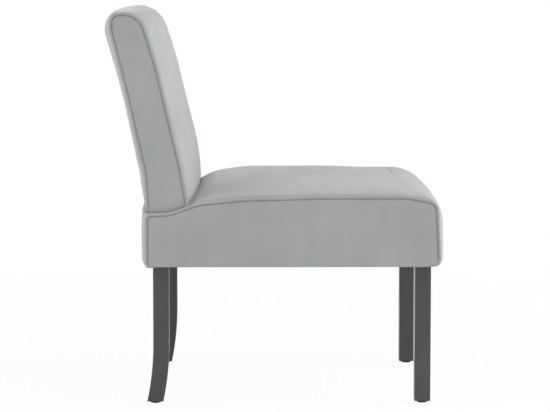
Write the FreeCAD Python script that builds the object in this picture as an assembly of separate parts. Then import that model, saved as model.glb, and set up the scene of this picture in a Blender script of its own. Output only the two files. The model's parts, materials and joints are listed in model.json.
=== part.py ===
import FreeCAD, Part
import math
import os

# An armless upholstered slipper chair, in millimetres.
# The front of the chair is -Y, the sitter's left is +X, and Z is up from the floor.
# A low plywood seat box carries webbing, burlap and a crowned foam pad. Each side of the seat and
# of the backrest is a flat panel with a welt sewn round its edge, and one long cover runs over the
# front, top and rear between the two welts. The backrest is a separate piece: its two posts go down
# into the seat box, where long bolts clamp post, rear leg and side board together.

# Seat side panel, as its seam line: distance back from the chair's middle, height, corner radius
SEAT_OUTLINE = [
    (250.0, 275.2, 3.5),     # rear, bottom edge
    (249.3, 370.0, 5.0),     # rear, top edge
    (205.0, 371.5, 70.0),    # end of the shelf that carries the backrest
    (150.0, 391.5, 70.0),    # top of the rise in front of the backrest
    (60.0, 400.2, 400.0),
    (-90.0, 404.2, 800.0),
    (-256.0, 404.2, 90.0),   # start of the slope to the front edge
    (-311.0, 394.0, 18.0),   # front, top edge
    (-316.5, 275.2, 8.0),    # front, bottom edge
]
# What each corner gains at the middle of the seat's width: distance back, height, radius
SEAT_CROWN = [(15, 0, 0), (15, 8, 4), (0, 3, 0), (-27, 36.5, 8), (0, 37, 0), (0, 33.5, 0), (20, 29, 40),
              (-19.5, 39, 73), (-16, 0, 0)]

# Backrest side panel, in the same way
BACK_OUTLINE = [
    (247.3, 380.5, 3.0),     # rear, bottom
    (252.0, 452.0, 250.0),
    (288.9, 618.0, 600.0),
    (317.0, 730.0, 60.0),
    (318.0, 757.0, 14.0),    # rear, top edge
    (266.5, 763.0, 40.0),    # front, top edge
    (235.0, 664.0, 600.0),
    (186.0, 455.0, 500.0),
    (175.5, 388.0, 4.0),     # front, bottom
    (203.0, 380.5, 40.0),
]
BACK_CROWN = [(8.5, 0, 4), (17.5, -1, 0), (16.3, -3.4, 0), (18.5, -9.5, 0), (21, 5, 21.5),
              (-24.7, 14.5, 13), (-27.3, 8, 0), (-30.6, 5.8, 0), (-18, 0, 0), (0, 0, 0)]

SEAT_HALF = 265.0        # middle plane to the outer face of the seat's side panel
BACK_HALF = 255.0        # the same on the backrest, which stands a little inside the seat
WELT_R = 3.75            # welt cord with its velvet
FABRIC = 1.5             # velvet with its backing
PLAY = 0.2               # gap between a cover and its filling
CROWN_POWER = 2.6        # how flat the crown is across the width
CROWN_EDGE = 0.7         # how roundly it rolls over at the welts: 1 is a plain crown, less is rounder
CROWN_STATIONS = [1.0, 0.985, 0.94, 0.84, 0.66, 0.38]   # sections of a crowned block, in half widths
COVER_LIP = 20.0         # how far the cover turns in under the seat box
PANEL_BOTTOM = 271.5     # lower edge of the seat's side panels

# Seat box
BOARD = 8.0              # plywood of the box
BOX_BOTTOM = 273.2
BOX_TOP = 345.0
BATTEN_WIDE = 24.0
BATTEN_HIGH = 20.0
BLOCK_HIGH = 14.0        # notched corner block under the front battens
BLOCK_REACH = 32.0       # how far it runs past the leg
STRAP = 1.8              # elastic webbing thickness
STRAP_WIDE = 50.0
LENGTHWISE_STRAPS = [-165.0, -55.0, 55.0, 165.0]
CROSSWISE_STRAPS = [-210.0, -105.0, 0.0, 105.0]
STRAP_SAG = 1.2          # the webbing's middle layer lies this far above the box
STRAP_CROSSING = 0.55    # half a crossing's length, as a share of a strap's width
STRAP_GAP = 0.1          # half the gap between two crossing straps
BURLAP = 1.0
DUST_COVER = 0.8
DUST_COVER_IN = 4.0      # the dust cover's edge lies this far inside the box's

# Legs
LEG = 31.0
LEG_OUTER = 253.0        # middle plane to a leg's outer face
FRONT_LEG_FRONT = -303.0
REAR_LEG_REAR = 240.0
SWEEP_START = 121.0      # height at which the rear legs begin to curve back
SWEEP_R = 552.0          # radius of a rear leg's rear face
LEG_EDGE = 1.5
GLIDE_HIGH = 4.5
GLIDE_R = 12.0
GLIDE_FOOT_R = 6.5
GLIDE_BULGE = 0.9        # how far the dome's shoulder stands out of a straight cone
GLIDE_SHOULDER = 0.3     # height of that shoulder, as a share of the glide's
GLIDE_NAIL_R = 1.4
GLIDE_NAIL_LONG = 16.0
GLIDE_NAIL_ROOT = 1.0    # part of the nail that is moulded in

# Backrest frame
POST_WIDE = 24.0
POST_DEEP = 30.0
POST_FOOT = 277.0
POST_IN = 6.0            # rear seam line to the post's rear face
POST_LEAN = 4.0          # how far a post leans back on its way out of the seat
POST_GAP = 2.0           # free space between a post and the rear batten
POST_BEND = 20.0         # a post bends this far below and half as far above the backrest's lower edge
POST_TOP = 15.0          # the top rail stands this far above the posts
SLOT_ROOM = 0.6          # free space round a post in the covers
PAD_SLOT_ROOM = 1.0      # the same in the foam
BACK_BOARD = 3.0         # hardboard behind the posts
FORMER = 12.0            # plywood that shapes the backrest's sides
FORMER_IN = 4.0          # seam line to the former's edge
FORMER_OUTER = 250.0
RAIL_THICK = 18.0
RAIL_HEIGHTS = {"bottom": (392.0, 440.0), "middle": (548.0, 588.0), "top": (688.0, 728.0)}
BACK_STRAPS = [-150.0, -50.0, 50.0, 150.0]
STRAP_IN = 6.0           # end of a strap to the far edge of its rail

# Fasteners
BOLT_R = 4.0
BOLT_HOLE_R = 4.5
BOLT_HEAD_R = 6.5
BOLT_HEAD_LONG = 8.0
HEX_KEY = 6.0            # across the flats of the socket in the head
HEX_DEEP = 4.5
WASHER_R = 8.5
WASHER = 1.6
TEE_FLANGE_R = 8.5
TEE_FLANGE = 1.2
TEE_BARREL_R = 5.0
TEE_BORE_R = 4.05
BOLT_HEIGHTS = [283.5, 301.5]
BOLT_SHORT = 0.5         # a bolt's tip stops this far inside the board's face
SCREW_R = 2.0
SCREW_HEAD_R = 4.0
SCREW_LONG = 30.0
SCREW_TIP = 5.0
SCREW_PLACE = 0.36       # where a screw sits along a corner block's reach

FAR = 500.0              # beyond every part of the chair, for cutting blocks
X_AXIS = FreeCAD.Vector(1, 0, 0)
Z_AXIS = FreeCAD.Vector(0, 0, 1)
SIDES = {"left": 1, "right": -1}


def box(low, high):
    """A block between two opposite corners."""
    size = [b - a for a, b in zip(low, high)]
    return Part.makeBox(*size, FreeCAD.Vector(*low))


def side_box(side, x_in, x_out, low, high):
    """A block on one side of the chair, between two distances from the middle plane."""
    xs = sorted((side * x_in, side * x_out))
    return box((xs[0], *low), (xs[1], *high))


def cylinder(radius, start, length, direction):
    return Part.makeCylinder(radius, length, FreeCAD.Vector(*start), direction)


def offset_corners(corners, distance):
    """The outline moved out by a distance, or in if it is negative. Its corners run anticlockwise."""
    moved = []
    count = len(corners)
    for i, (y, z, radius) in enumerate(corners):
        before, after = corners[i - 1], corners[(i + 1) % count]
        a = FreeCAD.Vector(0, y - before[0], z - before[1]).normalize()
        b = FreeCAD.Vector(0, after[0] - y, after[1] - z).normalize()
        normal_a = FreeCAD.Vector(0, a.z, -a.y)
        normal_b = FreeCAD.Vector(0, b.z, -b.y)
        reach = distance / (1 + normal_a.dot(normal_b))
        shift = (normal_a + normal_b) * reach
        convex = a.y * b.z - a.z * b.y > 0
        new_radius = radius + distance if convex else radius - distance
        moved.append((y + shift.y, z + shift.z, max(new_radius, 0.8)))
    return moved


def crown_share(across):
    """Share of the full crown at a place across the width, from -1 to 1."""
    return (1 - abs(across) ** CROWN_POWER) ** CROWN_EDGE


def crowned(corners, crown, share, distance):
    """The cover's outline at one place across the width, moved out by a distance."""
    grown = offset_corners(corners, WELT_R)
    raised = [(y + share * dy, z + share * dz, r + share * dr)
              for (y, z, r), (dy, dz, dr) in zip(grown, crown)]
    return offset_corners(raised, distance)


def rounded_edges(corners, x, closed=True):
    """Straight runs and tangent arcs through an outline's corners, in the plane at x."""
    points = [FreeCAD.Vector(x, y, z) for y, z, _ in corners]
    count = len(points)
    inner = range(count) if closed else range(1, count - 1)
    turns = {}
    for i in inner:
        here = points[i]
        back = (points[i - 1] - here).normalize()
        ahead = (points[(i + 1) % count] - here).normalize()
        half = math.acos(max(-1.0, min(1.0, back.dot(ahead)))) / 2
        radius = corners[i][2]
        reach = radius / math.tan(half)
        middle = here + (back + ahead).normalize() * (radius / math.sin(half) - radius)
        turns[i] = (here + back * reach, middle, here + ahead * reach)
    edges = []
    if closed:
        for i in inner:
            start, middle, end = turns[i]
            edges.append(Part.Arc(start, middle, end).toShape())
            edges.append(Part.makeLine(end, turns[(i + 1) % count][0]))
        return edges
    last = points[0]
    for i in inner:
        start, middle, end = turns[i]
        edges.append(Part.makeLine(last, start))
        edges.append(Part.Arc(start, middle, end).toShape())
        last = end
    edges.append(Part.makeLine(last, points[-1]))
    return edges


def plate(corners, x_from, x_to):
    """A flat plate of an outline, between two planes."""
    face = Part.Face(Part.Wire(rounded_edges(corners, x_from)))
    return face.extrude(FreeCAD.Vector(x_to - x_from, 0, 0))


def polygon_plate(points, x_from, x_to):
    """A plate with sharp corners, between two planes."""
    corners = [FreeCAD.Vector(x_from, y, z) for y, z in points]
    face = Part.Face(Part.makePolygon(corners + corners[:1]))
    return face.extrude(FreeCAD.Vector(x_to - x_from, 0, 0))


def crowned_block(corners, crown, half_width, distance):
    """A block whose outline swells towards the middle of the width."""
    stations = [-f for f in CROWN_STATIONS] + [0.0] + CROWN_STATIONS[::-1]
    wires = []
    for across in stations:
        outline = crowned(corners, crown, crown_share(across), distance)
        wires.append(Part.Wire(rounded_edges(outline, across * half_width)))
    return Part.makeLoft(wires, True, False)


def welt(corners, x, radius):
    """The cord round a side panel, from its bottom rear corner over the top to its bottom front one."""
    path = Part.Wire(rounded_edges(corners, x, closed=False))
    start = path.Edges[0].valueAt(path.Edges[0].FirstParameter)
    ahead = path.Edges[0].tangentAt(path.Edges[0].FirstParameter)
    ring = Part.Wire(Part.makeCircle(radius, start, ahead))
    return path.makePipeShell([ring], True, False)


def seat_welt_path():
    return offset_corners(SEAT_OUTLINE, WELT_R)


def back_welt_path():
    """The backrest's welt ends on the seat, so its path leaves out the panel's bottom edge."""
    return offset_corners(BACK_OUTLINE, WELT_R)[:-1]


def line_y(corners, z):
    """Distance back of a chain of outline corners at a height."""
    for (y0, z0, _), (y1, z1, _) in zip(corners, corners[1:]):
        if min(z0, z1) <= z <= max(z0, z1):
            return y0 + (y1 - y0) * (z - z0) / (z1 - z0)
    raise ValueError("height outside the outline")


REAR_LINE = BACK_OUTLINE[:5]


def behind(z, inset):
    """The backrest's rear seam line at a height, moved forward by an inset."""
    return line_y(REAR_LINE, z) - inset


def leg_solid(side, rear):
    """A square leg. The rear ones run straight down and then sweep back in an arc."""
    top = BOX_TOP - BATTEN_HIGH - PLAY
    if rear:
        y_back, y_front = REAR_LEG_REAR, REAR_LEG_REAR - LEG
        centre_y = REAR_LEG_REAR + SWEEP_R

        def swept(radius, z):
            return centre_y - math.sqrt(radius ** 2 - (SWEEP_START - z) ** 2)

        halfway = (SWEEP_START + GLIDE_HIGH) / 2
        spots = [[(y, SWEEP_START), (swept(r, halfway), halfway), (swept(r, GLIDE_HIGH), GLIDE_HIGH)]
                 for y, r in ((y_back, SWEEP_R), (y_front, SWEEP_R + LEG))]
        back, front = [[FreeCAD.Vector(0, y, z) for y, z in run] for run in spots]
        high_back = FreeCAD.Vector(0, y_back, top)
        high_front = FreeCAD.Vector(0, y_front, top)
        outline = Part.Wire([
            Part.makeLine(high_front, high_back),
            Part.makeLine(high_back, back[0]),
            Part.Arc(*back).toShape(),
            Part.makeLine(back[2], front[2]),
            Part.Arc(*front[::-1]).toShape(),
            Part.makeLine(front[0], high_front),
        ])
        leg = Part.Face(outline).extrude(X_AXIS * LEG)
    else:
        leg = box((0, FRONT_LEG_FRONT, GLIDE_HIGH), (LEG, FRONT_LEG_FRONT + LEG, top))
    upright = [e for e in leg.Edges if e.BoundBox.ZLength > LEG]
    leg = leg.makeFillet(LEG_EDGE, upright)
    leg.translate(X_AXIS * (LEG_OUTER - LEG if side > 0 else -LEG_OUTER))
    return leg


def leg_room(side, rear):
    """The hole that a leg needs in the covers it passes."""
    low = REAR_LEG_REAR - LEG if rear else FRONT_LEG_FRONT
    room = 2 * PLAY
    return side_box(side, LEG_OUTER - LEG - room, LEG_OUTER + room,
                    (low - room, SWEEP_START), (low + LEG + room, BOX_BOTTOM + 1))


def leg_foot(side, rear):
    """The middle of a leg's bottom face."""
    x = side * (LEG_OUTER - LEG / 2)
    if not rear:
        return x, FRONT_LEG_FRONT + LEG / 2
    drop = SWEEP_START - GLIDE_HIGH
    radius = SWEEP_R + LEG / 2
    return x, REAR_LEG_REAR + SWEEP_R - math.sqrt(radius ** 2 - drop ** 2)


def glide(side, rear):
    """A domed plastic glide with the nail that holds it in the end grain."""
    x, y = leg_foot(side, rear)
    rim = FreeCAD.Vector(GLIDE_R, 0, GLIDE_HIGH)
    foot = FreeCAD.Vector(GLIDE_FOOT_R, 0, 0)
    shoulder = FreeCAD.Vector((GLIDE_R + GLIDE_FOOT_R) / 2 + GLIDE_BULGE, 0, GLIDE_HIGH * GLIDE_SHOULDER)
    top = FreeCAD.Vector(0, 0, GLIDE_HIGH)
    bottom = FreeCAD.Vector(0, 0, 0)
    half = Part.Wire([
        Part.makeLine(bottom, foot),
        Part.Arc(foot, shoulder, rim).toShape(),
        Part.makeLine(rim, top),
        Part.makeLine(top, bottom),
    ])
    dome = Part.Face(half).revolve(bottom, Z_AXIS, 360)
    nail = Part.makeCylinder(GLIDE_NAIL_R, GLIDE_NAIL_LONG, top - Z_AXIS * GLIDE_NAIL_ROOT)
    made = dome.fuse(nail).removeSplitter()
    made.translate(FreeCAD.Vector(x, y, 0))
    return made


def bolt_row(rear):
    """Where the two bolts of one leg lie: distance back, height and where the head's washer starts."""
    y = REAR_LEG_REAR - LEG / 2 if rear else FRONT_LEG_FRONT + LEG / 2
    seat = LEG_OUTER - LEG - PLAY
    if rear:
        seat -= POST_WIDE + PLAY
    return [(y, z, seat) for z in BOLT_HEIGHTS]


def bolt(side, y, z, seat):
    """A socket-head bolt that points outwards."""
    out = X_AXIS * side
    under_head = seat - WASHER
    shank = cylinder(BOLT_R, (side * under_head, y, z), LEG_OUTER + BOARD - BOLT_SHORT - under_head, out)
    head_start = under_head - BOLT_HEAD_LONG
    head = cylinder(BOLT_HEAD_R, (side * head_start, y, z), BOLT_HEAD_LONG, out)
    reach = HEX_KEY / math.sqrt(3)
    ring = [FreeCAD.Vector(side * head_start, y + reach * math.cos(k * math.pi / 3),
                           z + reach * math.sin(k * math.pi / 3)) for k in range(7)]
    socket = Part.Face(Part.makePolygon(ring)).extrude(out * HEX_DEEP)
    return head.fuse(shank).removeSplitter().cut(socket)


def washer(side, y, z, seat):
    start = (side * (seat - WASHER), y, z)
    ring = cylinder(WASHER_R, start, WASHER, X_AXIS * side)
    return ring.cut(cylinder(BOLT_HOLE_R, start, WASHER, X_AXIS * side))


def tee_nut(side, y, z):
    """A tee nut in the side board, its flange flush with the board's outer face."""
    out = X_AXIS * side
    inner, outer = LEG_OUTER + PLAY, LEG_OUTER + BOARD
    barrel = cylinder(TEE_BARREL_R, (side * inner, y, z), outer - inner, out)
    flange = cylinder(TEE_FLANGE_R, (side * (outer - TEE_FLANGE), y, z), TEE_FLANGE, out)
    bore = cylinder(TEE_BORE_R, (side * inner, y, z), BOARD, out)
    return barrel.fuse(flange).removeSplitter().cut(bore)


def bolt_holes(side, rear):
    """Clearance holes for one leg's bolts, from the middle of the seat to its side."""
    holes = [cylinder(BOLT_HOLE_R, (0, y, z), SEAT_HALF, X_AXIS * side) for y, z, _ in bolt_row(rear)]
    return Part.makeCompound(holes)


def tee_pockets(side, rear):
    """Room for the tee nuts in a side board."""
    pockets = []
    for y, z, _ in bolt_row(rear):
        pockets.append(cylinder(TEE_BARREL_R, (side * LEG_OUTER, y, z), BOARD, X_AXIS * side))
        rim = side * (LEG_OUTER + BOARD - TEE_FLANGE)
        pockets.append(cylinder(TEE_FLANGE_R, (rim, y, z), TEE_FLANGE, X_AXIS * side))
    return Part.makeCompound(pockets)


def post_slot(side, low, high, room):
    """The hole that a backrest post needs in what it passes, with room round it."""
    inner = LEG_OUTER - LEG - PLAY - POST_WIDE
    y_low = REAR_LEG_REAR - PLAY - POST_DEEP
    return side_box(side, inner - room, inner + POST_WIDE + room,
                    (y_low - room, low), (REAR_LEG_REAR - PLAY + POST_LEAN + room, high))


def seat_boards():
    """Four plywood boards, with the front and rear ones between the side ones."""
    front, rear = FRONT_LEG_FRONT, REAR_LEG_REAR
    made = {
        "seat_board_front": box((-LEG_OUTER, front - BOARD, BOX_BOTTOM), (LEG_OUTER, front, BOX_TOP)),
        "seat_board_rear": box((-LEG_OUTER, rear, BOX_BOTTOM), (LEG_OUTER, rear + BOARD, BOX_TOP)),
    }
    for name, side in SIDES.items():
        board = side_box(side, LEG_OUTER, LEG_OUTER + BOARD,
                         (front - BOARD, BOX_BOTTOM), (rear + BOARD, BOX_TOP))
        for rear_leg in (False, True):
            board = board.cut(tee_pockets(side, rear_leg))
        made["seat_board_" + name] = board
    return made


def seat_battens():
    """Battens inside the top of the boards. The rear one stops short of the backrest's posts."""
    low, high = BOX_TOP - BATTEN_HIGH, BOX_TOP
    front, rear = FRONT_LEG_FRONT, REAR_LEG_REAR
    inner = LEG_OUTER - BATTEN_WIDE
    post_inner = LEG_OUTER - LEG - PLAY - POST_WIDE
    made = {
        "seat_batten_front": box((-inner, front, low), (inner, front + BATTEN_WIDE, high)),
        "seat_batten_rear": box((-post_inner + POST_GAP, rear - BATTEN_WIDE, low),
                                (post_inner - POST_GAP, rear, high)),
    }
    for name, side in SIDES.items():
        made["seat_batten_" + name] = side_box(side, inner, LEG_OUTER, (front, low), (rear, high))
    return made


def corner_block(side):
    """A plywood block under the front battens, notched round the leg."""
    high = BOX_TOP - BATTEN_HIGH
    outer, inner = LEG_OUTER, LEG_OUTER - LEG - PLAY
    front, back = FRONT_LEG_FRONT, FRONT_LEG_FRONT + LEG + PLAY
    points = [(inner, front), (inner, back), (outer, back), (outer, back + BLOCK_REACH),
              (inner - BLOCK_REACH, front)]
    corners = [FreeCAD.Vector(side * x, y, high - BLOCK_HIGH) for x, y in points]
    block = Part.Face(Part.makePolygon(corners + corners[:1])).extrude(Z_AXIS * BLOCK_HIGH)
    for x, y in screw_spots(side):
        block = block.cut(screw(x, y, PLAY / 4))
    return block


def screw_spots(side):
    """Two screws a block, one into each batten."""
    reach = BLOCK_REACH * SCREW_PLACE
    inner, back = LEG_OUTER - LEG, FRONT_LEG_FRONT + LEG
    return [(side * (LEG_OUTER - BATTEN_WIDE / 2), back + reach),
            (side * (inner - reach), FRONT_LEG_FRONT + BATTEN_WIDE / 2)]


def screw(x, y, room=0.0):
    """A countersunk wood screw, driven upwards, with room round it."""
    low = BOX_TOP - BATTEN_HIGH - BLOCK_HIGH
    radius, head = SCREW_R + room, SCREW_HEAD_R + room
    half = [FreeCAD.Vector(r, 0, z) for r, z in
            ((0, 0), (head, 0), (radius, head - radius), (radius, SCREW_LONG - SCREW_TIP), (0, SCREW_LONG))]
    made = Part.Face(Part.makePolygon(half + half[:1])).revolve(FreeCAD.Vector(), Z_AXIS, 360)
    made.translate(FreeCAD.Vector(x, y, low))
    return made


def woven_strap(across, along_from, along_to, crossings, first_over):
    """One strap that passes over and under the straps that cross it, as (run, height) pairs."""
    low = BOX_TOP
    middle = BOX_TOP + STRAP + STRAP_SAG
    line = [(along_from, low), (along_from + BATTEN_WIDE, low)]
    over = first_over
    for spot in crossings:
        z = middle + STRAP_GAP if over else middle - STRAP - STRAP_GAP
        line += [(spot - STRAP_WIDE * STRAP_CROSSING, z), (spot + STRAP_WIDE * STRAP_CROSSING, z)]
        over = not over
    line += [(along_to - BATTEN_WIDE, low), (along_to, low)]
    under = [FreeCAD.Vector(0, run, z) for run, z in line]
    top = [FreeCAD.Vector(0, run, z + STRAP) for run, z in reversed(line)]
    strap = Part.Face(Part.makePolygon(under + top + under[:1])).extrude(X_AXIS * STRAP_WIDE)
    strap.translate(X_AXIS * (across - STRAP_WIDE / 2))
    return strap


def seat_webbing():
    """Elastic straps stretched over the box both ways and woven through each other."""
    front, rear = FRONT_LEG_FRONT - BOARD / 2, REAR_LEG_REAR
    lengthwise = [woven_strap(x, front, rear, CROSSWISE_STRAPS, i % 2 == 0)
                  for i, x in enumerate(LENGTHWISE_STRAPS)]
    crosswise = []
    for j, y in enumerate(CROSSWISE_STRAPS):
        strap = woven_strap(-y, -LEG_OUTER, LEG_OUTER, LENGTHWISE_STRAPS, j % 2 == 1)
        strap.rotate(FreeCAD.Vector(), Z_AXIS, -90)
        crosswise.append(strap)
    return {"seat_webbing_lengthwise": Part.makeCompound(lengthwise),
            "seat_webbing_crosswise": Part.makeCompound(crosswise)}


def backrest_room(room):
    """The space that the backrest and its welts take in the seat, with room round them."""
    space = crowned_block(BACK_OUTLINE, BACK_CROWN, BACK_HALF + WELT_R + room, room)
    cords = [welt(back_welt_path(), side * BACK_HALF, WELT_R + room) for side in SIDES.values()]
    return [space] + cords


def cut_all(solid, tools):
    for tool in tools:
        solid = solid.cut(tool)
    return solid


def seat_soft_parts():
    """The seat's foam, wadding and burlap, cut away where the backrest sinks in."""
    width = SEAT_HALF - WELT_R - 2 * PLAY
    filling = crowned_block(SEAT_OUTLINE, SEAT_CROWN, width, -FABRIC - PLAY)
    burlap_low = BOX_TOP + 2 * STRAP + STRAP_SAG + 2 * PLAY
    pad_low = burlap_low + BURLAP + PLAY
    pad = filling.common(box((-FAR, -FAR, pad_low), (FAR, FAR, FAR)))
    pad = cut_all(pad, backrest_room(FABRIC + 3 * PLAY))
    slots = [post_slot(side, BOX_BOTTOM, FAR, PAD_SLOT_ROOM) for side in SIDES.values()]
    pad = cut_all(pad, slots)
    front_face, rear_face = FRONT_LEG_FRONT - BOARD - PLAY, REAR_LEG_REAR + BOARD + PLAY
    front = filling.common(box((-FAR, -FAR, BOX_BOTTOM), (FAR, front_face, pad_low - PLAY)))
    rear = filling.common(box((-FAR, rear_face, BOX_BOTTOM), (FAR, FAR, pad_low - PLAY)))
    burlap = cut_all(box((-LEG_OUTER, FRONT_LEG_FRONT, burlap_low),
                         (LEG_OUTER, REAR_LEG_REAR, burlap_low + BURLAP)), slots)
    made = {"seat_foam_pad": pad, "seat_wadding_front": front, "seat_wadding_rear": rear,
            "seat_burlap": burlap}
    outline = offset_corners(SEAT_OUTLINE, -FABRIC - PLAY)
    for name, side in SIDES.items():
        inner, outer = LEG_OUTER + BOARD + PLAY, SEAT_HALF - FABRIC - PLAY
        sheet = plate(outline, side * inner, side * outer)
        made["seat_wadding_" + name] = cut_all(sheet, backrest_room(FABRIC + 2 * PLAY)[1:])
    return made


def seat_covers():
    """The seat's top cover, its side panels and the dust cover underneath."""
    width = SEAT_HALF - WELT_R - PLAY
    shell = crowned_block(SEAT_OUTLINE, SEAT_CROWN, width, 0)
    shell = cut_all(shell, backrest_room(2 * PLAY))
    inside = crowned_block(SEAT_OUTLINE, SEAT_CROWN, width, -FABRIC)
    inside = cut_all(inside, backrest_room(2 * PLAY + FABRIC))
    cover = shell.cut(inside)
    front, rear = FRONT_LEG_FRONT - BOARD + COVER_LIP, REAR_LEG_REAR + BOARD - COVER_LIP
    cover = cover.cut(box((-FAR, front, 0), (FAR, rear, BOX_BOTTOM)))
    legs = [leg_room(side, rear_leg) for side in SIDES.values() for rear_leg in (False, True)]
    slots = [post_slot(side, BOX_BOTTOM, FAR, SLOT_ROOM) for side in SIDES.values()]
    cover = cut_all(cover, slots + legs)
    made = {"seat_cover_top": cover}
    first, last = SEAT_OUTLINE[0], SEAT_OUTLINE[-1]
    outline = [(first[0], PANEL_BOTTOM, first[2])] + SEAT_OUTLINE[1:-1] + [(last[0], PANEL_BOTTOM, last[2])]
    for name, side in SIDES.items():
        panel = plate(outline, side * (SEAT_HALF - FABRIC), side * SEAT_HALF)
        lip = side_box(side, LEG_OUTER + BOARD - COVER_LIP, SEAT_HALF - FABRIC / 2,
                       (front + 1, PANEL_BOTTOM), (rear - 1, PANEL_BOTTOM + FABRIC))
        cover_side = cut_all(panel.fuse(lip).removeSplitter(), legs)
        made["seat_cover_" + name] = cut_all(cover_side, backrest_room(PLAY)[1:])
    top = PANEL_BOTTOM - PLAY
    edge = BOARD - DUST_COVER_IN
    dust = box((-LEG_OUTER - edge, FRONT_LEG_FRONT - edge, top - DUST_COVER),
               (LEG_OUTER + edge, REAR_LEG_REAR + edge, top))
    made["seat_dust_cover"] = cut_all(dust, legs)
    return made


def back_frame():
    """Two shaped plywood formers, two posts, three rails, straps and a hardboard back."""
    made = {}
    bottom = BACK_OUTLINE[0][1] + FORMER_IN
    former_outline = offset_corners(BACK_OUTLINE, -FORMER_IN)
    post_front = POST_IN + POST_DEEP
    foot_y = REAR_LEG_REAR - PLAY
    above_bend = bottom + POST_BEND / 2
    heights = [z for _, z, _ in REAR_LINE[1:3]]
    top = RAIL_HEIGHTS["top"][1] - POST_TOP
    for name, side in SIDES.items():
        made["back_former_" + name] = plate(former_outline, side * (FORMER_OUTER - FORMER), side * FORMER_OUTER)
        rear_side = [(foot_y, POST_FOOT), (foot_y, bottom - POST_BEND)]
        rear_side += [(behind(z, POST_IN), z) for z in [above_bend] + heights + [top]]
        front_side = [(y - POST_DEEP, z) for y, z in reversed(rear_side)]
        outer = LEG_OUTER - LEG - PLAY
        post = polygon_plate(rear_side + front_side, side * (outer - POST_WIDE), side * outer)
        made["back_post_" + name] = post.cut(bolt_holes(side, True))
    half = FORMER_OUTER - FORMER - PLAY
    for name, (low, high) in RAIL_HEIGHTS.items():
        points = [(behind(low, post_front + PLAY), low), (behind(high, post_front + PLAY), high),
                  (behind(high, post_front + RAIL_THICK), high), (behind(low, post_front + RAIL_THICK), low)]
        made["back_rail_" + name] = polygon_plate(points, -half, half)
    face = post_front + RAIL_THICK + PLAY
    line = [RAIL_HEIGHTS["bottom"][0] + STRAP_IN] + heights + [RAIL_HEIGHTS["top"][1] - STRAP_IN]
    straps = []
    for x in BACK_STRAPS:
        points = [(behind(z, face), z) for z in line]
        points += [(behind(z, face + STRAP), z) for z in reversed(line)]
        straps.append(polygon_plate(points, x - STRAP_WIDE / 2, x + STRAP_WIDE / 2))
    made["back_webbing"] = Part.makeCompound(straps)
    spots = [above_bend + POST_GAP] + heights + [top]
    points = [(behind(z, POST_IN - PLAY), z) for z in spots]
    points += [(behind(z, POST_IN - BACK_BOARD), z) for z in reversed(spots)]
    made["back_board"] = polygon_plate(points, -half, half)
    return made


def back_soft_parts():
    """The backrest's foam in front and over the top, and its wadding behind and at the sides."""
    filling = crowned_block(BACK_OUTLINE, BACK_CROWN, FORMER_OUTER, -FABRIC - PLAY)
    low, high = BACK_OUTLINE[0][1], RAIL_HEIGHTS["top"][1] + 1
    levels = [low] + [z for _, z, _ in REAR_LINE[1:3]] + [high]
    reach = POST_IN + POST_DEEP + RAIL_THICK + STRAP + 2 * PLAY
    front_run = [(behind(z, reach), z) for z in levels]
    rear_run = [(behind(z, POST_IN - BACK_BOARD - PLAY), z) for z in levels]
    core = polygon_plate(front_run + rear_run[::-1], -FAR, FAR)
    behind_all = polygon_plate(rear_run + [(FAR, high), (FAR, low)], -FAR, FAR)
    under = box((-FAR, 0, 0), (FAR, FAR, low))
    wide_formers = [plate(offset_corners(BACK_OUTLINE, -FORMER_IN + PLAY),
                          side * (FORMER_OUTER - FORMER - PLAY), side * FAR) for side in SIDES.values()]
    pad = cut_all(filling, wide_formers + [core, behind_all, under])
    rear = cut_all(filling.common(behind_all), wide_formers)
    made = {"back_foam_pad": pad, "back_wadding_rear": rear}
    outline = offset_corners(BACK_OUTLINE, -FABRIC - PLAY)
    for name, side in SIDES.items():
        made["back_wadding_" + name] = plate(outline, side * (FORMER_OUTER + PLAY),
                                             side * (BACK_HALF - FABRIC - PLAY))
    return made


def back_covers():
    """The backrest's long cover and its side panels."""
    width = BACK_HALF - WELT_R - PLAY
    shell = crowned_block(BACK_OUTLINE, BACK_CROWN, width, 0)
    inside = crowned_block(BACK_OUTLINE, BACK_CROWN, width, -FABRIC)
    slots = [post_slot(side, BOX_BOTTOM, BACK_OUTLINE[0][1] + WELT_R, SLOT_ROOM) for side in SIDES.values()]
    made = {"back_cover_front": cut_all(shell.cut(inside), slots)}
    for name, side in SIDES.items():
        made["back_cover_" + name] = plate(BACK_OUTLINE, side * (BACK_HALF - FABRIC), side * BACK_HALF)
    return made


def welts():
    made = {}
    for name, side in SIDES.items():
        cord = welt(seat_welt_path(), side * SEAT_HALF, WELT_R)
        made["seat_piping_" + name] = cord
        made["back_piping_" + name] = welt(back_welt_path(), side * BACK_HALF, WELT_R)
    return made


def legs_and_glides():
    made = {}
    for name, side in SIDES.items():
        for place, rear in (("front", False), ("rear", True)):
            leg = leg_solid(side, rear)
            leg = leg.cut(bolt_holes(side, rear))
            x, y = leg_foot(side, rear)
            leg = leg.cut(cylinder(GLIDE_NAIL_R, (x, y, GLIDE_HIGH), GLIDE_NAIL_LONG - GLIDE_NAIL_ROOT, Z_AXIS))
            made[f"leg_{place}_{name}"] = leg
            made[f"glide_{place}_{name}"] = glide(side, rear)
    return made


def fasteners():
    """Bolts, washers, tee nuts and screws, each kind as one group of separate solids."""
    groups = {"leg_bolts_front": [], "leg_bolts_rear": [], "bolt_washers": [], "tee_nuts": [],
              "corner_block_screws": []}
    for side in SIDES.values():
        for place, rear in (("front", False), ("rear", True)):
            for y, z, seat in bolt_row(rear):
                groups["leg_bolts_" + place].append(bolt(side, y, z, seat))
                groups["bolt_washers"].append(washer(side, y, z, seat))
                groups["tee_nuts"].append(tee_nut(side, y, z))
        groups["corner_block_screws"] += [screw(x, y) for x, y in screw_spots(side)]
    return {name: Part.makeCompound(solids) for name, solids in groups.items()}


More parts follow.
